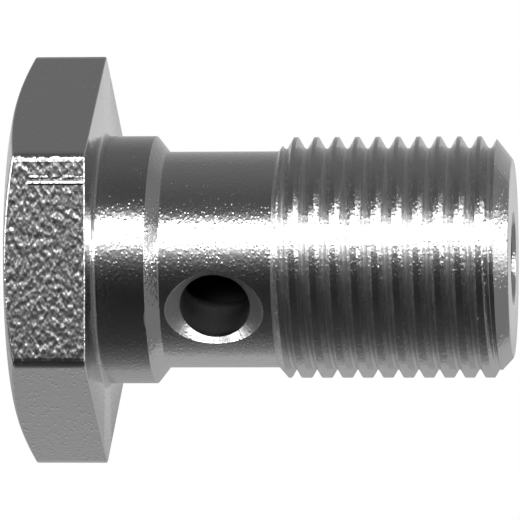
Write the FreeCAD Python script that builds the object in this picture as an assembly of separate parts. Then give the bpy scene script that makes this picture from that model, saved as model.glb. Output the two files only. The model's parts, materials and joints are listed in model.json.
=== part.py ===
"""Banjo bolt: a hollow bolt that carries fluid from a ring fitting into a threaded port.

One solid, turned from hexagon bar. The frame: z = 0 is the face under the head that
presses on the sealing washer, +z runs along the bolt's axis towards the threaded tip,
and two flats of the head face -y and +y. Lengths are in millimetres, angles in degrees.
"""
import FreeCAD, Part
import math
import os

Vector = FreeCAD.Vector
ORIGIN = Vector(0, 0, 0)
X_AXIS = Vector(1, 0, 0)
Z_AXIS = Vector(0, 0, 1)

# Head
across_flats = 17.4
head_height = 4.0
bar_corner_radius = 0.35
head_chamfer_inset = 0.3
head_chamfer_angle = 17.5

# Locating collar, between the washer face and the plain shank
collar_diameter = 12.15
collar_length = 2.5
collar_chamfer_length = 0.61

# Plain shank, turned to a little under the thread's root, and the length to the tip
shank_relief = 0.06
bolt_length = 20.0

# Outside thread: single start, right hand, 60 degree form
thread_diameter = 11.8
thread_pitch = 1.0
thread_flank_angle = 30.0
thread_depth_per_pitch = 0.5413
thread_crest_per_pitch = 0.125
thread_start = 8.55
thread_start_chamfer = 0.45
groove_lead_in = 1.18
groove_lead_out = 0.7

# Tip
tip_chamfer_length = 0.9
tip_chamfer_angle = 49.5

# Bore along the axis, drilled from the tip
bore_diameter = 4.2
bore_depth = 16.8
bore_point_angle = 118.0
bore_mouth_chamfer = 0.2

# Cross hole, drilled through both walls of the shank
cross_hole_diameter = 3.4
cross_hole_height = 5.75
cross_hole_turn = 28.5
countersink_diameter = 4.8
countersink_angle = 100.0

# A tool that cuts the metal runs this far past it
overrun = 1.0


def thread_root_radius():
    """The radius at the bottom of the thread's groove."""
    return thread_diameter / 2 - thread_depth_per_pitch * thread_pitch


def shank_radius():
    """The radius of the plain shank, which the thread's groove runs out above."""
    return thread_root_radius() - shank_relief


def corner_radius():
    """The radius over the corners of the hexagon, before they are rounded."""
    return across_flats / 2 / math.cos(math.radians(30))


def revolved(outline):
    """Turn an outline of (radius, height) points about the bolt's axis."""
    points = [Vector(radius, 0, height) for radius, height in outline]
    face = Part.Face(Part.makePolygon(points + points[:1]))
    return face.revolve(ORIGIN, Z_AXIS, 360)


def turned_blank():
    """The whole bolt as it leaves the lathe, with a round head and no thread."""
    head_radius = corner_radius()
    face_radius = across_flats / 2 - head_chamfer_inset
    head_slope = math.tan(math.radians(head_chamfer_angle))
    chamfer_top = -head_height + (head_radius - face_radius) * head_slope
    collar = collar_diameter / 2
    shank = shank_radius()
    crest = thread_diameter / 2
    tip_slope = math.tan(math.radians(tip_chamfer_angle))
    return revolved([
        (0, -head_height),
        (face_radius, -head_height),
        (head_radius, chamfer_top),
        (head_radius, 0),
        (collar, 0),
        (collar, collar_length),
        (shank, collar_length + collar_chamfer_length),
        (shank, thread_start),
        (crest, thread_start + thread_start_chamfer),
        (crest, bolt_length - tip_chamfer_length),
        (crest - tip_chamfer_length * tip_slope, bolt_length),
        (0, bolt_length),
    ])


def hexagon_bar():
    """The bar that the bolt is turned from, with its slightly rounded corners."""
    bottom = -head_height - overrun
    points = []
    for step in range(7):
        turn = math.radians(60 * step)
        x = corner_radius() * math.cos(turn)
        y = corner_radius() * math.sin(turn)
        points.append(Vector(x, y, bottom))
    face = Part.Face(Part.makePolygon(points))
    bar = face.extrude(Z_AXIS * (bolt_length + head_height + 2 * overrun))
    corners = [edge for edge in bar.Edges if edge.tangentAt(0).cross(Z_AXIS).Length < 0.01]
    return bar.makeFillet(bar_corner_radius, corners)


def groove_turn(height):
    """One turn of the groove between the thread's crests, starting at this height."""
    root = thread_root_radius()
    slope = math.tan(math.radians(thread_flank_angle))
    crest_width = thread_crest_per_pitch * thread_pitch
    # the cutter stands a little above the crests, but its turns must not touch
    outer = thread_diameter / 2 + crest_width / 4 / slope
    outer_half_width = thread_pitch / 2 - crest_width / 4
    root_half_width = outer_half_width - (outer - root) * slope
    helix = Part.makeHelix(thread_pitch, thread_pitch, root)
    helix.translate(Z_AXIS * height)
    section = Part.makePolygon([
        Vector(root, 0, height - root_half_width),
        Vector(outer, 0, height - outer_half_width),
        Vector(outer, 0, height + outer_half_width),
        Vector(root, 0, height + root_half_width),
        Vector(root, 0, height - root_half_width),
    ])
    return Part.Wire(helix).makePipeShell([section], True, True)


def thread_groove():
    """The whole groove: right-hand turns, one on the next, from the shank past the tip."""
    first_height = thread_start - groove_lead_in * thread_pitch
    last_height = bolt_length + groove_lead_out * thread_pitch
    turns = math.ceil((last_height - first_height) / thread_pitch)
    first_turn = groove_turn(first_height)
    stacked = []
    for index in range(1, turns):
        next_turn = first_turn.copy()
        next_turn.translate(Z_AXIS * (index * thread_pitch))
        stacked.append(next_turn)
    return first_turn.multiFuse(stacked)


def centre_bore():
    """The blind bore, with the cone that the drill leaves and a chamfered mouth."""
    radius = bore_diameter / 2
    floor = bolt_length - bore_depth
    point_depth = radius / math.tan(math.radians(bore_point_angle / 2))
    mouth = radius + bore_mouth_chamfer
    return revolved([
        (0, floor - point_depth),
        (radius, floor),
        (radius, bolt_length - bore_mouth_chamfer),
        (mouth, bolt_length),
        (mouth, bolt_length + overrun),
        (0, bolt_length + overrun),
    ])


def cross_hole():
    """The hole through both walls of the shank, countersunk at both ends."""
    radius = cross_hole_diameter / 2
    wide = countersink_diameter / 2
    slope = math.tan(math.radians(countersink_angle / 2))
    rim = shank_radius()
    inner = rim - (wide - radius) / slope
    outer = rim + overrun
    drill = revolved([
        (0, -outer),
        (wide + overrun * slope, -outer),
        (radius, -inner),
        (radius, inner),
        (wide + overrun * slope, outer),
        (0, outer),
    ])
    drill.rotate(ORIGIN, X_AXIS, 90)
    drill.rotate(ORIGIN, Z_AXIS, cross_hole_turn)
    drill.translate(Z_AXIS * cross_hole_height)
    return drill


def banjo_bolt():
    """Turn the hexagon bar, cut the thread, then drill the bore and the cross hole."""
    body = turned_blank().common(hexagon_bar())
    body = body.cut(thread_groove())
    body = body.cut(centre_bore())
    body = body.cut(cross_hole())
    return body.Solids[0]


os.makedirs("parts", exist_ok=True)
bolt = banjo_bolt()
bolt.exportStep("parts/banjo_bolt.step")
print("banjo_bolt", "valid", bolt.isValid(), "volume", round(bolt.Volume, 2), "mm3")
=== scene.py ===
# %% [markdown]
# A banjo bolt, seen in bright studio light.
# A banjo bolt is a hollow bolt: fluid goes in through the hole in its side and out through its
# tip. This one is a single piece of plated steel, turned from hexagon bar. It has a head,
# a smooth locating collar, a plain shank with a countersunk cross hole, and a fine thread with
# a bore down its middle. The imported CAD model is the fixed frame. It has the right form, but
# its facets show in bright metal, so a finer mesh is modelled here in the same place and
# stands for it. Bright metal looks real when its surface is smooth, its edges are a little
# round and it has a studio to reflect, so the steps below take those in turn.

# %% Load the frame
import bpy
import bmesh
import json
from math import ceil, cos, hypot, pi, radians, sin, tan
from mathutils import Matrix, Vector


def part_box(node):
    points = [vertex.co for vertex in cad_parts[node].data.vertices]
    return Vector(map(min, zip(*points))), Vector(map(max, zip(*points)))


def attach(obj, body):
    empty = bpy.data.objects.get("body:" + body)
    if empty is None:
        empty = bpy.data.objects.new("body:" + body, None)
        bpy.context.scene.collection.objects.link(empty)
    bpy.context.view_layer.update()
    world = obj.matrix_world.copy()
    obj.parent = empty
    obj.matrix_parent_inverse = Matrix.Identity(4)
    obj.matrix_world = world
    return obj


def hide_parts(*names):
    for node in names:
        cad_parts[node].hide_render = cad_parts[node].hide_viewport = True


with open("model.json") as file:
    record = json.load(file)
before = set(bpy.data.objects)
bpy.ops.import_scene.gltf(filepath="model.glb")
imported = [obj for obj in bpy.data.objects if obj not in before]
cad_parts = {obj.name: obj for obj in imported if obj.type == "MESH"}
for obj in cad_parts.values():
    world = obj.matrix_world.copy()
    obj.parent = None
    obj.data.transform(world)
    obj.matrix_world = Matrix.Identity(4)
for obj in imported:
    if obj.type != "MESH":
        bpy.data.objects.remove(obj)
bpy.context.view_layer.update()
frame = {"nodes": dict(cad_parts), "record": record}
NODE = "banjo_bolt"
MM = 0.001

# %% [markdown]
# Sizes. The frame already knows most of them: its box gives the head and the length, and its
# mounts give the collar, the bore, the cross hole and the thread. They could be typed in again,
# but reading them here keeps the two models in step. Every length is in millimetres until the
# mesh is finished, because bmesh's merging distances are easier to judge there.

# %% Sizes that the frame knows
lowest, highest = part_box(NODE)
mounts = {mount["name"]: mount for mount in frame["record"]["mounts"]}
head_height = -lowest.z / MM
bolt_length = highest.z / MM
across_flats = (highest.y - lowest.y) / MM
collar_radius = mounts["collar"]["dims"]["r_mm"]
collar_length = mounts["collar"]["dims"]["length_mm"]
bore_radius = mounts["bore"]["dims"]["r_mm"]
cross_hole_radius = mounts["cross_hole"]["dims"]["r_mm"]
cross_hole_axis = Vector(mounts["cross_hole"]["axis"])
cross_hole_height = mounts["cross_hole"]["pos_m"][2] / MM
crest_radius = mounts["thread"]["dims"]["r_mm"]
thread_start = bolt_length - mounts["thread"]["dims"]["length_mm"]
print("head", round(head_height, 3), "length", round(bolt_length, 3),
      "across flats", round(across_flats, 3))
print("collar radius", collar_radius, "crest radius", crest_radius,
      "thread starts at", round(thread_start, 3))

# %% [markdown]
# The turned blank. A lathe makes every face of a bolt except the six flats and the thread, so
# the natural way is the lathe's own: draw one side's outline and spin it round the axis. The
# outline is drawn with sharp corners, and each corner that the real bolt has rounded is then
# bevelled as a vertex, which puts a true arc there. A blank built from cylinders and cones
# would need a join, and would show a seam, at every step.

# %% A helper that draws an outline and rounds its corners
ARC_STEP = radians(14)


def outline_with_arcs(mesh, outline):
    """Join (radius, height, rounding) points in the XZ plane, and round those that ask for it."""
    corners = [mesh.verts.new((radius, 0, height)) for radius, height, rounding in outline]
    for start, end in zip(corners, corners[1:]):
        mesh.edges.new((start, end))
    for corner, (radius, height, rounding) in zip(corners, outline):
        if rounding:
            before, after = [edge.other_vert(corner).co - corner.co for edge in corner.link_edges]
            turn = pi - before.angle(after)
            bmesh.ops.bevel(mesh, geom=[corner], offset=rounding * tan(turn / 2),
                            offset_type="OFFSET", affect="VERTICES",
                            segments=max(2, ceil(turn / ARC_STEP)), profile=0.5, material=-1)
    print("outline:", len(mesh.verts), "points")


# %% Helpers that spin an outline and look it over
MERGE_GAP = 0.0001
SAME_PLACE = 0.001


def spin_closed(mesh, steps):
    """Spin all of the mesh a full turn about Z and close it, with its faces outwards."""
    bmesh.ops.spin(mesh, geom=mesh.verts[:] + mesh.edges[:], cent=(0, 0, 0), axis=(0, 0, 1),
                   dvec=(0, 0, 0), angle=2 * pi, steps=steps, use_merge=True,
                   use_normal_flip=False, use_duplicate=False)
    bmesh.ops.remove_doubles(mesh, verts=mesh.verts[:], dist=MERGE_GAP)
    bmesh.ops.recalc_face_normals(mesh, faces=mesh.faces[:])


def report(name, mesh):
    """Print how many faces a bmesh has, and whether it is closed."""
    open_edges = [edge for edge in mesh.edges if not edge.is_manifold]
    print(name + ":", len(mesh.faces), "faces,", len(open_edges), "open edges")


# %% Sizes of the head, the collar and the shank
corner_radius = across_flats / 2 / cos(radians(30))
round_head_allowance = 0.3
round_head_radius = corner_radius + round_head_allowance
head_chamfer_inset = 0.3
head_chamfer_angle = radians(17.5)
head_chamfer_rounding = 0.1
seat_fillet = 0.25
collar_edge_rounding = 0.05
collar_chamfer = 0.61
collar_foot_fillet = 0.15
shank_radius = 5.3
print("radius over the corners", round(corner_radius, 3), "shank radius", shank_radius)

# %% Sizes of the thread's outside, the tip and the bore
thread_start_chamfer = 0.45
tip_chamfer = 0.9
tip_chamfer_angle = radians(49.5)
tip_edge_rounding = 0.2
tip_radius = crest_radius - tip_chamfer * tan(tip_chamfer_angle)
bore_mouth_chamfer = 0.2
bore_mouth_rounding = 0.05
bore_foot_rounding = 0.1
bore_depth = 16.8
bore_floor = bolt_length - bore_depth
bore_point_angle = radians(118)
bore_point_depth = bore_radius / tan(bore_point_angle / 2)
print("tip radius", round(tip_radius, 3), "bore's floor at", round(bore_floor, 3))

# %% Draw the bolt's outline and spin it
TURNED_STEPS = 288


def turned_blank():
    """The bolt as it leaves the lathe, with a round head and no thread, as a bmesh."""
    face_radius = across_flats / 2 - head_chamfer_inset
    chamfer_rise = (round_head_radius - face_radius) * tan(head_chamfer_angle)
    blank = bmesh.new()
    outline_with_arcs(blank, [
        (0, -head_height, 0),
        (face_radius, -head_height, head_chamfer_rounding),
        (round_head_radius, chamfer_rise - head_height, 0),
        (round_head_radius, 0, 0),
        (collar_radius, 0, seat_fillet),
        (collar_radius, collar_length, collar_edge_rounding),
        (shank_radius, collar_length + collar_chamfer, collar_foot_fillet),
        (shank_radius, thread_start, 0),
        (crest_radius, thread_start + thread_start_chamfer, 0),
        (crest_radius, bolt_length - tip_chamfer, 0),
        (tip_radius, bolt_length, tip_edge_rounding),
        (bore_radius + bore_mouth_chamfer, bolt_length, bore_mouth_rounding),
        (bore_radius, bolt_length - bore_mouth_chamfer, bore_mouth_rounding),
        (bore_radius, bore_floor, bore_foot_rounding),
        (0, bore_floor - bore_point_depth, 0),
    ])
    spin_closed(blank, TURNED_STEPS)
    return blank


bolt = turned_blank()
report("turned blank", bolt)

# %% [markdown]
# The crests' own place. A thread's crests are what is left of the turned bar, while its groove
# is cut in a second setting, and on this bolt the two settings are a tenth of a millimetre
# apart: the flats on the crests are wide on one side of the bolt and narrow on the other.
# A texture couldn't show that, because it changes the outline. Moving the blank's two crest
# rings sideways does it, since the groove that is cut later keeps to the axis.

# %% Set the crests a little off the axis
crest_offset = 0.09
crest_rings = [vert for vert in bolt.verts
               if vert.co.z > thread_start and hypot(*vert.co.xy) > crest_radius - SAME_PLACE]
bmesh.ops.translate(bolt, verts=crest_rings, vec=(-crest_offset, 0, 0))
print("crest rings:", len(crest_rings), "points moved", crest_offset, "mm")

# %% [markdown]
# The hexagon. On the real bolt the flats are the bar's own skin, left standing where the lathe
# didn't reach. Here they are cut: the round head is bisected by six planes, the part outside
# each plane is cleared away, and the hole is filled. That leaves the curved line where each
# flat meets the conical chamfer, which is the mark of a turned hexagon head, and which
# a six-sided cylinder wouldn't have. The planes stand a hair inside the bar's flats, so that
# the finished mesh stays within the CAD model's box.

# %% Cut the six flats
FLAT_INSET = 0.001
ON_PLANE = 0.00001


def cut_flat(mesh, turn):
    """Clear away what lies outside one flat, and close the cut with a single face."""
    outward = Vector((cos(turn), sin(turn), 0))
    cut = bmesh.ops.bisect_plane(mesh, geom=mesh.verts[:] + mesh.edges[:] + mesh.faces[:],
                                 dist=ON_PLANE, plane_co=outward * (across_flats / 2 - FLAT_INSET),
                                 plane_no=outward, clear_outer=True)
    rim = [item for item in cut["geom_cut"] if isinstance(item, bmesh.types.BMEdge)]
    bmesh.ops.contextual_create(mesh, geom=rim)


for flat in range(6):
    cut_flat(bolt, radians(30 + 60 * flat))
bmesh.ops.recalc_face_normals(bolt, faces=bolt.faces[:])
report("with its flats", bolt)

# %% [markdown]
# The head's edges. Drawn bar has rounded corners, and a tumble in the plating barrel leaves no
# other edge sharp. Both show as thin bright lines, because a rounding always has some part that
# faces a lamp. The Bevel modifier could round every edge alike, but here the upright corners
# are rounder than the rims, so each set is picked by where its faces stand and is bevelled
# in turn.

# %% Round the six upright corners
# A side of the bar is far larger than 5 square millimetres, and no other upright face is.
CORNER_ROUNDING = 0.35
UPRIGHT = 0.001
SMALLEST_FLAT = 5


def is_flat(face):
    """Whether a face stands on one of the hexagon's six sides."""
    return abs(face.normal.z) < UPRIGHT and face.calc_area() > SMALLEST_FLAT


corner_edges = [edge for edge in bolt.edges
                if len(edge.link_faces) == 2 and all(map(is_flat, edge.link_faces))]
bmesh.ops.bevel(bolt, geom=corner_edges, offset=CORNER_ROUNDING * tan(radians(30)),
                offset_type="OFFSET", affect="EDGES", segments=8, profile=0.5, material=-1)
print("corners:", len(corner_edges))

# %% Round the rims of the head's sides
RIM_ROUNDING = 0.09
BEYOND_COLLAR = 1


def on_the_side(face):
    """Whether a face stands on a flat or on the round between two flats."""
    return (abs(face.normal.z) < UPRIGHT and max(vert.co.z for vert in face.verts) < SAME_PLACE
            and hypot(*face.calc_center_median().xy) > collar_radius + BEYOND_COLLAR)


rim_edges = [edge for edge in bolt.edges
             if len(edge.link_faces) == 2 and sum(map(on_the_side, edge.link_faces)) == 1]
bmesh.ops.bevel(bolt, geom=rim_edges, offset=RIM_ROUNDING, offset_type="OFFSET",
                affect="EDGES", segments=3, profile=0.5, material=-1)
print("rim edges:", len(rim_edges))
report("head finished", bolt)

# %% [markdown]
# The thread. A thread can be a bump pattern, a stack of rings, or a true helix. From close by,
# the outline shows which it is, so this is the helix. What cuts it is a nut: a ring with the
# thread's groove standing up inside it. One pitch of the groove's form is drawn as an outline
# and spun with a lift at every step. That makes one turn, which ends where a copy of it can
# begin, so the other turns are copies: spinning them all in one go takes a hundred times as
# long. The nut cuts only the roots and the flanks. The flats on the crests are the blank's own
# surface, which the nut stands clear of.

# %% Sizes of the thread's groove
pitch = 1.0
flank_angle = radians(30)
thread_depth = 0.484 * pitch
root_radius = crest_radius - thread_depth
root_width = 0.15 * pitch
half_root = root_width / 2
root_rounding = 0.125
# a crest crosses the bolt's +X side at this height, which sets where the helix starts
crest_height_on_x = 8.87
nut_clearance = 0.06
clear_radius = crest_radius + crest_offset + nut_clearance
half_crest = pitch / 2 - half_root - (clear_radius - root_radius) * tan(flank_angle)
print("thread root radius", round(root_radius, 3),
      "gap between grooves, mm", round(2 * half_crest, 3))

# %% Spin one turn of the groove and copy it
STEPS_A_TURN = 144
TURN_GAP = 0.0005


def one_turn(first):
    """One turn of the groove's form, climbing one pitch from this height, as a bmesh."""
    nut = bmesh.new()
    outline_with_arcs(nut, [
        (clear_radius, first, 0),
        (clear_radius, first + half_crest, 0),
        (root_radius, first + pitch / 2 - half_root, root_rounding),
        (root_radius, first + pitch / 2 + half_root, root_rounding),
        (clear_radius, first + pitch - half_crest, 0),
        (clear_radius, first + pitch, 0),
    ])
    bmesh.ops.spin(nut, geom=nut.verts[:] + nut.edges[:], cent=(0, 0, 0), axis=(0, 0, 1),
                   dvec=(0, 0, pitch / STEPS_A_TURN), angle=2 * pi, steps=STEPS_A_TURN,
                   use_merge=False, use_normal_flip=False, use_duplicate=False)
    return nut


def stack_turns(nut, turns):
    """Copy the first turn upwards, pitch by pitch, and join the turns."""
    first_turn = nut.verts[:] + nut.edges[:] + nut.faces[:]
    for index in range(1, turns):
        copied = bmesh.ops.duplicate(nut, geom=first_turn)["geom"]
        copied_verts = [item for item in copied if isinstance(item, bmesh.types.BMVert)]
        bmesh.ops.translate(nut, verts=copied_verts, vec=(0, 0, index * pitch))
    bmesh.ops.remove_doubles(nut, verts=nut.verts[:], dist=TURN_GAP)


turns_below = ceil(crest_height_on_x - thread_start) + 2
nut_turns = ceil(bolt_length - thread_start) + turns_below + 2
nut_start = crest_height_on_x - turns_below * pitch
nut = one_turn(nut_start)
stack_turns(nut, nut_turns)
report("stacked turns", nut)

# %% [markdown]
# The nut's outside. A cutter has to be a closed body, or the cut has no inside and no outside.
# The two ends of the stacked turns are open edges that climb, so each is drawn out to a wide,
# level ring, and the two rings are bridged with a plain wall that never touches the bolt.

# %% Close the nut
NUT_RADIUS = 7.5
NUT_MARGIN = 0.5


def ring_round(mesh, edges, height):
    """Draw an open end out to a level ring, wide of the bolt, and return the ring's edges."""
    drawn = bmesh.ops.extrude_edge_only(mesh, edges=edges)["geom"]
    ring_verts = [item for item in drawn if isinstance(item, bmesh.types.BMVert)]
    for vert in ring_verts:
        outward = Vector(vert.co.xy).normalized() * NUT_RADIUS
        vert.co = (outward.x, outward.y, height)
    bmesh.ops.remove_doubles(mesh, verts=ring_verts, dist=MERGE_GAP)
    return [edge for edge in mesh.edges
            if all(abs(vert.co.z - height) < MERGE_GAP for vert in edge.verts)]


middle = nut_start + nut_turns * pitch / 2
ends = [edge for edge in nut.edges if edge.is_boundary]
below = [edge for edge in ends if edge.verts[0].co.z < middle]
above = [edge for edge in ends if edge.verts[0].co.z > middle]
lower_ring = ring_round(nut, below, nut_start - NUT_MARGIN)
upper_ring = ring_round(nut, above, nut_start + (nut_turns + 1) * pitch + NUT_MARGIN)
bmesh.ops.bridge_loops(nut, edges=lower_ring + upper_ring)
bmesh.ops.recalc_face_normals(nut, faces=nut.faces[:])
report("nut", nut)

# %% [markdown]
# The cross hole. Fluid enters the bolt here, so the hole runs through both walls into the
# bore, and both mouths are countersunk. A cylinder and two cones would do, and would have to be
# joined. One more spun outline is simpler: a slim rod that flares at both ends, laid on its
# side and turned to where the frame's mount points.

# %% Sizes of the cross hole
countersink_radius = 2.4
countersink_slope = radians(50)
hole_edge_rounding = 0.07
drill_overrun = 1
drill_reach = shank_radius + drill_overrun
countersink_foot = shank_radius - (countersink_radius - cross_hole_radius) / tan(countersink_slope)
flare_radius = cross_hole_radius + (drill_reach - countersink_foot) * tan(countersink_slope)
print("countersink runs from radius", round(countersink_foot, 3), "to the skin at", shank_radius)

# %% Spin the drill and lay it down
DRILL_STEPS = 96


def cross_drill():
    """A rod with a flare at each end, on the cross hole's axis, as a bmesh."""
    drill = bmesh.new()
    outline_with_arcs(drill, [
        (0, -drill_reach, 0),
        (flare_radius, -drill_reach, 0),
        (cross_hole_radius, -countersink_foot, hole_edge_rounding),
        (cross_hole_radius, countersink_foot, hole_edge_rounding),
        (flare_radius, drill_reach, 0),
        (0, drill_reach, 0),
    ])
    spin_closed(drill, DRILL_STEPS)
    lay_down = Vector((0, 0, 1)).rotation_difference(cross_hole_axis).to_matrix()
    bmesh.ops.rotate(drill, verts=drill.verts[:], cent=(0, 0, 0), matrix=lay_down)
    bmesh.ops.translate(drill, verts=drill.verts[:], vec=(0, 0, cross_hole_height))
    return drill


drill = cross_drill()
report("drill", drill)

# %% [markdown]
# Cutting. Taking one body away from another is the Boolean modifier's work: bmesh has no such
# operator. The two cutters become short-lived objects, the blank takes a modifier for each, and
# the evaluated result is copied into a new mesh, so that no modifier and no cutter is left in
# the scene. The fast solver would do for plain holes. The exact one is used because the thread
# meets the blank at shallow angles.

# %% Helpers that turn a bmesh into an object, and cut one object with others
def object_from(mesh_data, name):
    """Put a bmesh into a new object at the origin, in the scene."""
    mesh = bpy.data.meshes.new(name)
    mesh_data.to_mesh(mesh)
    mesh_data.free()
    made = bpy.data.objects.new(name, mesh)
    bpy.context.scene.collection.objects.link(made)
    print("made", name, "with", len(mesh.polygons), "faces")
    return made


def cut_away(blank, cutters):
    """Subtract the cutters from the blank and return the finished mesh."""
    for cutter in cutters:
        cut = blank.modifiers.new("cut by " + cutter.name, "BOOLEAN")
        cut.operation = "DIFFERENCE"
        cut.solver = "EXACT"
        cut.object = cutter
    evaluated = blank.evaluated_get(bpy.context.evaluated_depsgraph_get())
    finished = bpy.data.meshes.new_from_object(evaluated)
    for used in [blank, *cutters]:
        bpy.data.objects.remove(used)
    return finished


# %% Cut the thread and the cross hole
blank_object = object_from(bolt, "blank")
finished_mesh = cut_away(blank_object, [object_from(nut, "nut"), object_from(drill, "drill")])
finished_mesh.name = "turned_bolt"
turned_bolt = bpy.data.objects.new("turned_bolt", finished_mesh)
bpy.context.scene.collection.objects.link(turned_bolt)
print("cut:", len(finished_mesh.polygons), "faces")

# %% [markdown]
# Clean surfaces. A Boolean leaves stray points where two cuts nearly meet, and metal shows each
# as a dark nick, so close points are merged and slivers dissolved before the mesh is scaled to
# metres. Then it is shaded smooth, with real edges kept sharp by their angle. One thing is
# left: where a large face meets a small rounding, smooth shading bends the light over the whole
# face. A Weighted Normal modifier gives the larger face its own way there.

# %% Clean the mesh, bring it to metres and shade it
STRAY_GAP = 0.0008
SLIVER = 0.0005
SHARP_ANGLE = radians(26)


def clean_and_shade(mesh):
    """Merge the cuts' stray points, scale to metres, and smooth all but the sharp edges."""
    clean = bmesh.new()
    clean.from_mesh(mesh)
    bmesh.ops.remove_doubles(clean, verts=clean.verts[:], dist=STRAY_GAP)
    bmesh.ops.dissolve_degenerate(clean, edges=clean.edges[:], dist=SLIVER)
    bmesh.ops.recalc_face_normals(clean, faces=clean.faces[:])
    bmesh.ops.scale(clean, verts=clean.verts[:], vec=(MM, MM, MM))
    report("turned_bolt", clean)
    clean.to_mesh(mesh)
    clean.free()
    mesh.shade_smooth()
    mesh.set_sharp_from_angle(angle=SHARP_ANGLE)
    mesh.update()


clean_and_shade(finished_mesh)
print("triangles:", sum(len(face.vertices) - 2 for face in finished_mesh.polygons))

# %% Keep the large faces flat between their small roundings
even_faces = turned_bolt.modifiers.new("even faces", "WEIGHTED_NORMAL")
even_faces.mode = "FACE_AREA"
even_faces.weight = 50
even_faces.keep_sharp = True
print("normals follow the larger face wherever it meets a rounding")

# %% Tie the piece to the frame
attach(turned_bolt, "root")
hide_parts(NODE)
print("turned_bolt rides on root and stands for", NODE)

# %% [markdown]
# The grain. Plated steel is a bright metal whose plating follows a fine pebbled grain in the
# steel below. A grain that only changed the colour would look printed. This one is a bump:
# it turns each speck a few degrees, and in the light of a long softbox that is enough to make
# it flash white or go dark. It is made of three things: soft pebbles (Noise), shallow pits
# between them (Voronoi distance), and scattered deeper dimples (a second Voronoi, where each
# cell's own colour says how deep its dimple is). The dimples put the bright specks above and
# below the white stripe on the turned faces. Several places use the grain, each at its own
# scale, so it is a node group: built once, with named inputs.

# %% Helpers that make a node group and its nodes
def new_group(name, inputs, outputs):
    """A shader node group with named inputs (and their values) and named float outputs."""
    group = bpy.data.node_groups.new(name, "ShaderNodeTree")
    for label, value in inputs.items():
        kind = "NodeSocketVector" if isinstance(value, tuple) else "NodeSocketFloat"
        socket = group.interface.new_socket(label, in_out="INPUT", socket_type=kind)
        socket.default_value = value
    for label in outputs:
        group.interface.new_socket(label, in_out="OUTPUT", socket_type="NodeSocketFloat")
    return group


def add_node(tree, kind, **settings):
    """Add a node and set its properties."""
    node = tree.nodes.new(kind)
    for key, value in settings.items():
        setattr(node, key, value)
    return node


def link_in(tree, source, socket):
    """Link a socket, or set a plain value, into an input."""
    if isinstance(source, bpy.types.NodeSocket):
        tree.links.new(source, socket)
    else:
        socket.default_value = source


# %% Helpers that calculate with nodes
def calc(tree, operation, first, second=0.0):
    """The output of one Math node."""
    node = add_node(tree, "ShaderNodeMath", operation=operation)
    link_in(tree, first, node.inputs[0])
    link_in(tree, second, node.inputs[1])
    return node.outputs[0]


def ramp(tree, source, start, end, low=0.0, high=1.0):
    """A value that goes from low to high as the source goes from start to end."""
    node = add_node(tree, "ShaderNodeMapRange")
    for label, value in (("From Min", start), ("From Max", end),
                         ("To Min", low), ("To Max", high)):
        node.inputs[label].default_value = value
    tree.links.new(source, node.inputs["Value"])
    return node.outputs["Result"]


def axes_of(tree, source):
    """The x, y and z of a vector."""
    node = add_node(tree, "ShaderNodeSeparateXYZ")
    tree.links.new(source, node.inputs["Vector"])
    return node.outputs["X"], node.outputs["Y"], node.outputs["Z"]


# %% The grain
DIMPLE_SPACING = 1.1
DIMPLE_REACH = 0.42
PEBBLE_DETAIL = 1.0
PEBBLE_ROUGHNESS = 0.45


def cells_at(tree, position, scale):
    """A Voronoi texture with its cells this fine."""
    node = add_node(tree, "ShaderNodeTexVoronoi", voronoi_dimensions="3D", feature="F1")
    tree.links.new(position, node.inputs["Vector"])
    tree.links.new(scale, node.inputs["Scale"])
    return node


def metal_grain():
    """A height made of soft pebbles, small pits and scattered deeper dimples."""
    group = new_group("metal grain", {"Position": (0.0, 0.0, 0.0), "Scale": 3000.0, "Pits": 0.5,
                                      "Dimples": 0.0}, ["Height"])
    entry = add_node(group, "NodeGroupInput").outputs
    leave = add_node(group, "NodeGroupOutput").inputs
    pebbles = add_node(group, "ShaderNodeTexNoise", noise_dimensions="3D")
    pebbles.inputs["Detail"].default_value = PEBBLE_DETAIL
    pebbles.inputs["Roughness"].default_value = PEBBLE_ROUGHNESS
    group.links.new(entry["Position"], pebbles.inputs["Vector"])
    group.links.new(entry["Scale"], pebbles.inputs["Scale"])
    pits = cells_at(group, entry["Position"], entry["Scale"]).outputs["Distance"]
    pit_height = calc(group, "MULTIPLY", pits, entry["Pits"])
    height = calc(group, "ADD", pebbles.outputs["Fac"], pit_height)
    wide_scale = calc(group, "MULTIPLY", entry["Scale"], DIMPLE_SPACING)
    wide_cells = cells_at(group, entry["Position"], wide_scale).outputs
    dimple = ramp(group, wide_cells["Distance"], 0.0, DIMPLE_REACH, 1.0, 0.0)
    dimple = calc(group, "MULTIPLY", dimple, axes_of(group, wide_cells["Color"])[0])
    dimple = calc(group, "MULTIPLY", dimple, entry["Dimples"])
    group.links.new(calc(group, "ADD", height, dimple), leave["Height"])
    return group


grain = metal_grain()
print("grain group:", len(grain.nodes), "nodes")

# %% [markdown]
# Where each finish goes. The bolt is one mesh with one plating, yet the light shows five kinds
# of place on it: the bar's own skin on the flats, the thread's rougher roots, the drilled and
# countersunk edges, the hole's wall and the deep bore. The hole's wall and the bore are also
# darkened in the metal's colour, as painted shade for recesses where little light comes back.
# Painting them by hand would be lost with every change to the mesh. These masks work them out
# from where a point is: its height along the bolt, its distance from the axis, and, for the
# flats, the way it faces.

# %% Helpers that find a place by its distance from the axis and its height
def from_axis(tree, x, y):
    """The distance from the bolt's axis."""
    return calc(tree, "SQRT", calc(tree, "ADD", calc(tree, "MULTIPLY", x, x),
                                   calc(tree, "MULTIPLY", y, y)))


def inside(tree, radius, limit, band):
    """A mask that rises as the radius falls through a band, measured outwards from a limit."""
    return ramp(tree, radius, (limit + band[0]) * MM, (limit + band[1]) * MM)


def between(tree, z, low, high):
    """1 where z is between two heights in millimetres, else 0."""
    return calc(tree, "MULTIPLY", calc(tree, "GREATER_THAN", z, low * MM),
                calc(tree, "LESS_THAN", z, high * MM))


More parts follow.
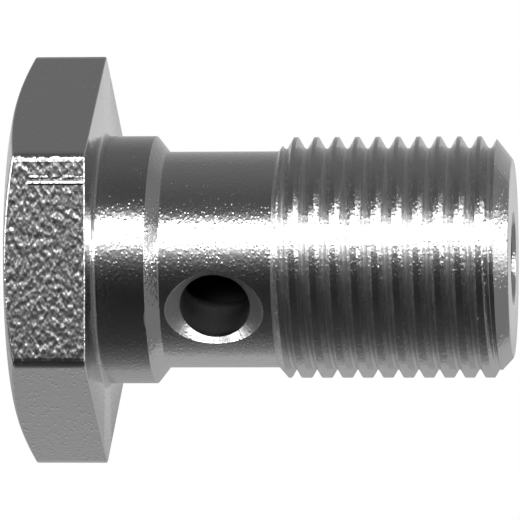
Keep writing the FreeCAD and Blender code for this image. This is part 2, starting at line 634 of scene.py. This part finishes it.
# %% Masks that find the flats, the thread's roots and the inside of the bolt
# Each pair says where a mask starts and where it is full. The bands are in millimetres outwards
# from the radius of the thread's root, the shank, the countersink's foot and the bore.
FLAT_TILT = (0.25, 0.1)
ROOT_BAND = (0.16, 0.02)
CUT_BAND = (-0.01, -0.04)
HOLE_BAND = (0.05, -0.1)
DEEP_BAND = (0.5, 0.1)
THREAD_MARGIN = 0.1


def place_masks():
    """From a position and a normal: where the flats, roots, cut edges, hole and bore are."""
    group = new_group("place masks", {"Position": (0.0, 0.0, 0.0), "Normal": (0.0, 0.0, 0.0)},
                      ["Flats", "Root", "Cut", "Hole", "Deep"])
    entry = add_node(group, "NodeGroupInput").outputs
    leave = add_node(group, "NodeGroupOutput").inputs
    x, y, z = axes_of(group, entry["Position"])
    radius = from_axis(group, x, y)
    tilt = calc(group, "ABSOLUTE", axes_of(group, entry["Normal"])[2])
    on_shank = between(group, z, 0.0, bolt_length - bore_mouth_chamfer)
    in_root = inside(group, radius, root_radius, ROOT_BAND)
    under_skin = inside(group, radius, shank_radius, CUT_BAND)
    short_of_thread = calc(group, "LESS_THAN", z, (thread_start - THREAD_MARGIN) * MM)
    found = {
        "Flats": (ramp(group, tilt, *FLAT_TILT), calc(group, "LESS_THAN", z, 0.0)),
        "Root": (in_root, between(group, z, thread_start, bolt_length - tip_chamfer)),
        "Cut": (calc(group, "MULTIPLY", under_skin, short_of_thread), on_shank),
        "Hole": (inside(group, radius, countersink_foot, HOLE_BAND), on_shank),
        "Deep": (inside(group, radius, bore_radius, DEEP_BAND), on_shank),
    }
    for label, (place, limits) in found.items():
        group.links.new(calc(group, "MULTIPLY", place, limits), leave[label])
    return group


masks = place_masks()
print("mask group:", len(masks.nodes), "nodes")

# %% [markdown]
# The flats' relief. Bar that is drawn through a die comes out with its faces rolled off a
# little towards the corners, and here and there with a raised scratch along it. The roll-off
# makes the bright band along the near flat's upper edge, and two draw marks lie beside it, the
# fainter one ragged. Both are a few hundredths of a millimetre high, too little to change the
# outline, so they are heights for the same bump as the grain.

# %% Helpers that find the near flat and draw one mark on it
# Each mark is its x, half its width, its height and whether it is ragged.
DRAW_MARKS = [(-3.66, 0.10, 0.9, False), (-3.95, 0.08, 0.5, True)]
RAGGED_BAND = (0.4, 0.6)
NEAR_FLAT_SKIN = 0.05


def on_near_flat(tree, y):
    """1 on the flat that faces the camera's side, else 0."""
    return calc(tree, "LESS_THAN", y, (NEAR_FLAT_SKIN - across_flats / 2) * MM)


def draw_mark(tree, x, ragged, mark):
    """The height of one raised line along the bar, at its own x."""
    middle, half_width, rise, is_ragged = mark
    away = calc(tree, "ABSOLUTE", calc(tree, "SUBTRACT", x, middle * MM))
    ridge = ramp(tree, away, half_width * MM, 0.0, 0.0, rise)
    if is_ragged:
        ridge = calc(tree, "MULTIPLY", ridge, ramp(tree, ragged, *RAGGED_BAND))
    return ridge


# %% Rolled-off corners and two draw marks
CORNER_ROLL = 0.33
CORNER_DROP = 1.5
DRAW_MARK_END = -2.75
DRAW_MARK_FADE = 0.15
RAGGED_SCALE = 2500.0


def flat_relief():
    """Height to add on the flats: they fall away at the corners, and one flat has draw marks."""
    group = new_group("flat relief", {"Position": (0.0, 0.0, 0.0)}, ["Height"])
    entry = add_node(group, "NodeGroupInput").outputs
    leave = add_node(group, "NodeGroupOutput").inputs
    x, y, z = axes_of(group, entry["Position"])
    roll_start = hypot(across_flats / 2, corner_radius / 2 - CORNER_ROLL)
    height = ramp(group, from_axis(group, x, y), roll_start * MM, corner_radius * MM,
                  0.0, -CORNER_DROP)
    ragged = add_node(group, "ShaderNodeTexNoise", noise_dimensions="3D")
    ragged.inputs["Scale"].default_value = RAGGED_SCALE
    group.links.new(entry["Position"], ragged.inputs["Vector"])
    fade = ramp(group, z, DRAW_MARK_END * MM, (DRAW_MARK_END + DRAW_MARK_FADE) * MM)
    on_mark = calc(group, "MULTIPLY", on_near_flat(group, y), fade)
    for mark in DRAW_MARKS:
        ridge = draw_mark(group, x, ragged.outputs["Fac"], mark)
        height = calc(group, "ADD", height, calc(group, "MULTIPLY", ridge, on_mark))
    group.links.new(height, leave["Height"])
    return group


relief = flat_relief()
print("relief group:", len(relief.nodes), "nodes")

# %% [markdown]
# The plated steel. One Principled BSDF, fully metallic, does for the whole bolt: the colour is
# how bright the metal mirrors, and the roughness is how softly. The masks then vary both. The
# near flat has the coarsest grain, the other flats only a few pinholes, and the turned faces
# a fine grain with dimples. The grain's z is stretched, which makes its specks shorter along
# the bolt. The material could be five materials on five sets of faces, but then their borders
# would follow the mesh's edges, and plating has no such borders.

# %% How coarse and how bright each place is
BUMP_DEPTH = 0.00003
TURNED_GRAIN = {"scale": 4400.0, "stretch": 1.45, "pits": 0.5, "dimples": 1.7, "height": 0.3}
FLAT_GRAIN = {"scale": 2400.0, "stretch": 1.85, "pits": 0.25}
NEAR_FLAT_HEIGHT = 1.9
OTHER_FLATS_HEIGHT = 0.09
PINHOLES = 4.0
# The hole's 0.3 and the bore's 0.02 are painted shade: these recesses are darkened in the metal's
# colour.
BRIGHT = {"skin": 0.74, "collar": 0.6, "cut edge": 0.46, "hole": 0.3, "painted bore shade": 0.02}
ROUGH = {"skin": 0.16, "thread root": 0.28, "cut edge": 0.3, "hole": 0.45}
COLLAR_BAND = (0.02, 0.1)
print("brightness:", BRIGHT)
print("roughness:", ROUGH)


# %% Helpers that mix values and place the grain
def mixed(tree, factor, low, high):
    """A plain mix of two values or sockets."""
    node = add_node(tree, "ShaderNodeMix", data_type="FLOAT")
    link_in(tree, factor, node.inputs["Factor"])
    link_in(tree, low, node.inputs["A"])
    link_in(tree, high, node.inputs["B"])
    return node.outputs["Result"]


def grain_at(tree, position, settings, dimples):
    """The grain's height, with these settings, shorter along the bolt than across it."""
    stretched = add_node(tree, "ShaderNodeMapping")
    stretched.inputs["Scale"].default_value = (1.0, 1.0, settings["stretch"])
    tree.links.new(position, stretched.inputs["Vector"])
    node = add_node(tree, "ShaderNodeGroup", node_tree=grain)
    node.inputs["Scale"].default_value = settings["scale"]
    node.inputs["Pits"].default_value = settings["pits"]
    link_in(tree, dimples, node.inputs["Dimples"])
    tree.links.new(stretched.outputs["Vector"], node.inputs["Position"])
    return node.outputs["Height"]


# %% The height that the bump follows
def surface_height(tree, position, on_flats):
    """Fine grain on the turned faces; coarse grain, pinholes and relief on the flats."""
    turned = grain_at(tree, position, TURNED_GRAIN, TURNED_GRAIN["dimples"])
    turned = calc(tree, "MULTIPLY", turned, TURNED_GRAIN["height"])
    near = on_near_flat(tree, axes_of(tree, position)[1])
    coarse = grain_at(tree, position, FLAT_GRAIN, mixed(tree, near, PINHOLES, 0.0))
    coarse_height = mixed(tree, near, OTHER_FLATS_HEIGHT, NEAR_FLAT_HEIGHT)
    coarse = calc(tree, "MULTIPLY", coarse, coarse_height)
    shaped = add_node(tree, "ShaderNodeGroup", node_tree=relief)
    tree.links.new(position, shaped.inputs["Position"])
    flats = calc(tree, "ADD", coarse, shaped.outputs["Height"])
    return mixed(tree, on_flats, turned, flats)


# %% The colour and the roughness
def metal_brightness(tree, position, masked):
    """How bright the metal is: darker on the collar and at cut edges, with painted shade in the
    hole and the bore.
    """
    z = axes_of(tree, position)[2]
    on_collar = calc(tree, "MULTIPLY", ramp(tree, z, COLLAR_BAND[0] * MM, COLLAR_BAND[1] * MM),
                     calc(tree, "LESS_THAN", z, collar_length * MM))
    tone = mixed(tree, on_collar, BRIGHT["skin"], BRIGHT["collar"])
    tone = mixed(tree, masked["Cut"], tone, BRIGHT["cut edge"])
    # Painted shade: the cross hole's wall and the bore are darkened in colour, where little light
    # reaches.
    tone = mixed(tree, masked["Hole"], tone, BRIGHT["hole"])
    return mixed(tree, masked["Deep"], tone, BRIGHT["painted bore shade"])


def metal_roughness(tree, masked):
    """How rough the metal is: rougher in the thread's roots, at cut edges and in the hole."""
    rough = mixed(tree, masked["Root"], ROUGH["skin"], ROUGH["thread root"])
    rough = mixed(tree, masked["Cut"], rough, ROUGH["cut edge"])
    return mixed(tree, masked["Hole"], rough, ROUGH["hole"])


# %% The material
def plated_steel():
    """Bright plated steel, with coarser grain on the hexagon's flats than on the turned faces."""
    material = bpy.data.materials.new("plated_steel")
    material.use_nodes = True
    tree = material.node_tree
    shader = tree.nodes["Principled BSDF"]
    shader.inputs["Metallic"].default_value = 1.0
    place = add_node(tree, "ShaderNodeTexCoord")
    position = place.outputs["Object"]
    found = add_node(tree, "ShaderNodeGroup", node_tree=masks)
    tree.links.new(position, found.inputs["Position"])
    tree.links.new(place.outputs["Normal"], found.inputs["Normal"])
    masked = found.outputs
    bump = add_node(tree, "ShaderNodeBump")
    bump.inputs["Strength"].default_value = 1.0
    bump.inputs["Distance"].default_value = BUMP_DEPTH
    tree.links.new(surface_height(tree, position, masked["Flats"]), bump.inputs["Height"])
    tree.links.new(bump.outputs["Normal"], shader.inputs["Normal"])
    tree.links.new(metal_brightness(tree, position, masked), shader.inputs["Base Color"])
    tree.links.new(metal_roughness(tree, masked), shader.inputs["Roughness"])
    return material


steel = plated_steel()
for plated in (turned_bolt, frame["nodes"][NODE]):
    plated.data.materials.clear()
    plated.data.materials.append(steel)
print("material:", steel.name, "with", len(steel.node_tree.nodes), "nodes")

# %% [markdown]
# The backdrop and the stand. The photo's ground is plain white, and so is the world here, at
# a strength of 1. The bolt stands on its head on a small round of pale paper, which keeps its
# shadow. Lighting that paper up to white would flood the metal with light from below, so it is
# the paper's own material that gives the camera white, and a reflection of it too, by asking
# Light Path what kind of ray has arrived.

# %% The white world
world = bpy.data.worlds.new("white backdrop")
world.use_nodes = True
world.node_tree.nodes["Background"].inputs["Color"].default_value = (1, 1, 1, 1)
world.node_tree.nodes["Background"].inputs["Strength"].default_value = 1.0
bpy.context.scene.world = world
print("world:", world.name)


# %% Helpers for paper that gives off light
def emission_material(name):
    """A material that only gives off light, and its nodes, ready to be coloured."""
    material = bpy.data.materials.new(name)
    material.use_nodes = True
    tree = material.node_tree
    tree.nodes.clear()
    glow = add_node(tree, "ShaderNodeEmission")
    out = add_node(tree, "ShaderNodeOutputMaterial")
    tree.links.new(glow.outputs["Emission"], out.inputs["Surface"])
    return material, tree, glow


def seen_or_mirrored(tree):
    """1 for what the camera sees, straight, in a mirror or through glass, and 0 for the rest."""
    path = add_node(tree, "ShaderNodeLightPath").outputs
    seen = calc(tree, "MAXIMUM", path["Is Camera Ray"], path["Is Glossy Ray"])
    return calc(tree, "MAXIMUM", seen, path["Is Transmission Ray"])


# %% The stand's top
STAND_RADIUS = 8.2
PAPER_WHITE = (0.9, 0.9, 0.9, 1)
PAPER_GLOW = 1.3
PAPER_GLOW_SHARE = 0.6


def stand_paper():
    """Pale paper that also glows a little for the camera, so that it comes out white."""
    material, tree, glow = emission_material("pale paper")
    glow.inputs["Strength"].default_value = PAPER_GLOW
    paper = add_node(tree, "ShaderNodeBsdfDiffuse")
    paper.inputs["Color"].default_value = PAPER_WHITE
    blend = add_node(tree, "ShaderNodeMixShader")
    share = calc(tree, "MULTIPLY", seen_or_mirrored(tree), PAPER_GLOW_SHARE)
    tree.links.new(share, blend.inputs["Fac"])
    tree.links.new(paper.outputs["BSDF"], blend.inputs[1])
    tree.links.new(glow.outputs["Emission"], blend.inputs[2])
    tree.links.new(blend.outputs["Shader"], tree.nodes["Material Output"].inputs["Surface"])
    return material


disc = bmesh.new()
bmesh.ops.create_circle(disc, cap_ends=True, segments=128, radius=STAND_RADIUS * MM)
bmesh.ops.translate(disc, verts=disc.verts[:], vec=(0, 0, lowest.z))
floor = object_from(disc, "stand_top")
floor.data.materials.append(stand_paper())

# %% [markdown]
# The paper drum. Metal has no look of its own: it shows what stands round it. A photographer
# shoots a bright bolt inside a tent of paper, white in some directions and dark in others, so
# that its round faces get clear bands of light and dark. Area lamps could stand for the tent,
# but each gives one hard-edged patch. Here the tent is a drum round the bolt, whose tone is
# a colour ramp of the angle round the axis, from white through charcoal, with one tall
# softbox. The drum is closed, and the camera looks straight through it at the white world,
# because only visible_camera is off: the metal still sees the paper from every side.

# %% The drum's size and its tones
# Each stop is an angle and a tone. Angles are measured round the bolt from the camera's side (-Y)
# towards -X. Pale paper stands behind the bolt, charcoal from its +X side round to the camera,
# and the softbox a little past the camera, towards -X.
DRUM_RADIUS = 300.0
DRUM_BELOW = 200.0
DRUM_ABOVE = 260.0
SOFTBOX_FOOT = -78.0
SOFTBOX_FADE = 8.0
BELOW_FOOT_TONE = 0.7
WALL_TONES = [
    (-180, 0.66), (-178.5, 0.60), (-175.5, 0.38), (-165, 0.43), (-146, 0.44), (-130, 0.45),
    (-123, 0.42), (-119.5, 0.32), (-115, 0.24), (-108, 0.19), (-102, 0.14), (-92, 0.09),
    (-82, 0.054), (-60, 0.036), (-35, 0.022), (-18, 0.03), (-8, 0.06), (-3, 0.12), (3, 0.23),
    (8, 0.5), (13, 1.3), (19, 4.5), (33, 4.5), (43, 0.2), (51, 0.08), (67, 0.085), (88, 0.125),
    (123, 0.18), (150, 0.32), (165, 0.47), (175.5, 0.64), (180, 0.66),
]
print("drum:", len(WALL_TONES), "tones, softbox from", SOFTBOX_FOOT, "mm upwards")


# %% A helper that turns an angle into a tone
def tone_by_angle(tree, tones):
    """A colour that follows (angle, tone) stops round the bolt's axis, and the place's x, y, z."""
    place = add_node(tree, "ShaderNodeTexCoord")
    x, y, z = axes_of(tree, place.outputs["Object"])
    angle = calc(tree, "ARCTAN2", calc(tree, "MULTIPLY", x, -1.0), calc(tree, "MULTIPLY", y, -1.0))
    stops_node = add_node(tree, "ShaderNodeValToRGB")
    tree.links.new(ramp(tree, angle, -pi, pi), stops_node.inputs["Fac"])
    stops = stops_node.color_ramp.elements
    stops.remove(stops[1])
    stops[0].position = (tones[0][0] + 180) / 360
    stops[0].color = (tones[0][1],) * 3 + (1,)
    for turn, tone in tones[1:]:
        stops.new((turn + 180) / 360).color = (tone, tone, tone, 1)
    return stops_node.outputs["Color"], (x, y, z)


# %% The drum's wall
WALL_STEPS = 180


def drum_wall():
    """An open wall all round the bolt."""
    wall = bmesh.new()
    lower = wall.verts.new((0, DRUM_RADIUS * MM, -DRUM_BELOW * MM))
    upper = wall.verts.new((0, DRUM_RADIUS * MM, DRUM_ABOVE * MM))
    edge = wall.edges.new((lower, upper))
    bmesh.ops.spin(wall, geom=[lower, upper, edge], cent=(0, 0, 0), axis=(0, 0, 1), dvec=(0, 0, 0),
                   angle=2 * pi, steps=WALL_STEPS, use_merge=True, use_normal_flip=False,
                   use_duplicate=False)
    bmesh.ops.recalc_face_normals(wall, faces=wall.faces[:])
    return object_from(wall, "paper_drum")


def drum_paper():
    """Paper in the wall's tones, with the softbox ending at its foot."""
    material, tree, glow = emission_material("drum paper")
    tone, (x, y, z) = tone_by_angle(tree, WALL_TONES)
    unlit = add_node(tree, "ShaderNodeVectorMath", operation="MINIMUM")
    unlit.inputs[1].default_value = (BELOW_FOOT_TONE,) * 3
    tree.links.new(tone, unlit.inputs[0])
    wall_tone = add_node(tree, "ShaderNodeMix", data_type="RGBA")
    above_foot = ramp(tree, z, (SOFTBOX_FOOT - SOFTBOX_FADE) * MM,
                      (SOFTBOX_FOOT + SOFTBOX_FADE) * MM)
    tree.links.new(above_foot, wall_tone.inputs["Factor"])
    tree.links.new(unlit.outputs["Vector"], wall_tone.inputs["A"])
    tree.links.new(tone, wall_tone.inputs["B"])
    tree.links.new(wall_tone.outputs["Result"], glow.inputs["Color"])
    return material


drum = drum_wall()
drum.data.materials.append(drum_paper())
drum.visible_camera = False

# %% [markdown]
# The cards above and below. The thread's flanks and the chamfers face along the bolt, so they
# mirror what closes the drum at its two ends. The card above is grey paper with a small softbox
# on it, which lights the face under the head and the tip's chamfer. The wall's softbox is drawn
# on over both cards as a fan. Without it each flank would go black in the middle of the bright
# stripe, and the thread would break the stripe up.

# %% The cards' tones
TOP_CARD_TONE = 0.2
TOP_SOFTBOX_TONE = 2.2
TOP_SOFTBOX_X = (-84, -66, -48, 34)
TOP_SOFTBOX_Y = (-12, 2, 108, 122)
ABOVE_TONES = [(-180, 0.0), (5, 0.0), (14, 5.0), (38, 5.0), (50, 0.0), (180, 0.0)]
BELOW_TONES = [
    (-180, 0.3), (-120, 0.2), (-82, 0.05), (-10, 0.03), (3, 0.1), (12, 5.0), (50, 5.0), (70, 0.1),
    (123, 0.18), (180, 0.4),
]
print("overhead softbox, mm:", TOP_SOFTBOX_X, TOP_SOFTBOX_Y)


# %% The cards' paper
def strip(tree, source, places):
    """A factor that rises from 0 to 1 between two places and falls between the last two."""
    rise = ramp(tree, source, places[0] * MM, places[1] * MM)
    return calc(tree, "MULTIPLY", rise, ramp(tree, source, places[3] * MM, places[2] * MM))


def overhead_paper():
    """Grey paper with the wall's softbox drawn on over it, and a small softbox above the bolt."""
    material, tree, glow = emission_material("overhead paper")
    fan, (x, y, z) = tone_by_angle(tree, ABOVE_TONES)
    patch = calc(tree, "MULTIPLY", strip(tree, x, TOP_SOFTBOX_X), strip(tree, y, TOP_SOFTBOX_Y))
    tone = ramp(tree, patch, 0.0, 1.0, TOP_CARD_TONE, TOP_SOFTBOX_TONE)
    tree.links.new(calc(tree, "MAXIMUM", tone, fan), glow.inputs["Strength"])
    return material


def underside_paper():
    """Grey paper with the long softbox's foot on it."""
    material, tree, glow = emission_material("underside paper")
    tone, (x, y, z) = tone_by_angle(tree, BELOW_TONES)
    tree.links.new(tone, glow.inputs["Color"])
    return material


# %% Close the drum with the two cards
def round_card(name, height, paper):
    """A round card that closes the drum at one end, and that the camera sees through."""
    card = bmesh.new()
    bmesh.ops.create_circle(card, cap_ends=True, segments=96, radius=DRUM_RADIUS * MM)
    bmesh.ops.translate(card, verts=card.verts[:], vec=(0, 0, height * MM))
    made = object_from(card, name)
    made.data.materials.append(paper)
    made.visible_camera = False


round_card("card_below", -DRUM_BELOW, underside_paper())
round_card("card_above", DRUM_ABOVE, overhead_paper())

# %% [markdown]
# The camera. The photo looks at the bolt's side from a little beyond its tip, with the bolt's
# axis level in the picture, so the camera lies on its side: the picture's right is the bolt's
# +Z, and the picture's top is -X. Its distance follows from how the circles open along the
# bolt, narrow at the tip and wider at the head. The lens is long, and the frame is 520 pixels
# square, so that one value, pixels to a millimetre at the bolt's axis, sets the focal length.

# %% The camera
CAMERA_DISTANCE = 290.0
CAMERA_ANGLE = radians(5.58)
CAMERA_ROLL = radians(-0.147)
PIXELS_PER_MM = 20.378
FRAME_PIXELS = 520
SENSOR = 36
AIM = Vector((0.0305, 0, 7.549))


def photo_camera():
    """A long lens on the bolt's -Y side, lying so that the bolt's axis is level."""
    lens = bpy.data.cameras.new("photo_camera")
    camera = bpy.data.objects.new("photo_camera", lens)
    bpy.context.scene.collection.objects.link(camera)
    back = Vector((0, -cos(CAMERA_ANGLE), sin(CAMERA_ANGLE)))
    level_right = (Vector((0, 0, 1)) - back * back.z).normalized()
    level_up = back.cross(level_right)
    right = level_right * cos(CAMERA_ROLL) + level_up * sin(CAMERA_ROLL)
    up = back.cross(right)
    turned = Matrix((right, up, back)).transposed().to_4x4()
    camera.matrix_world = Matrix.Translation((AIM + back * CAMERA_DISTANCE) * MM) @ turned
    lens.sensor_width = SENSOR
    lens.sensor_height = SENSOR
    lens.lens = SENSOR * PIXELS_PER_MM * CAMERA_DISTANCE / FRAME_PIXELS
    lens.clip_start = 0.01
    lens.clip_end = 10
    return camera


camera = photo_camera()
bpy.context.scene.camera = camera
bpy.context.scene.view_settings.view_transform = "Standard"
print("camera at", [round(c / MM, 1) for c in camera.location], "mm, lens",
      round(camera.data.lens, 1))
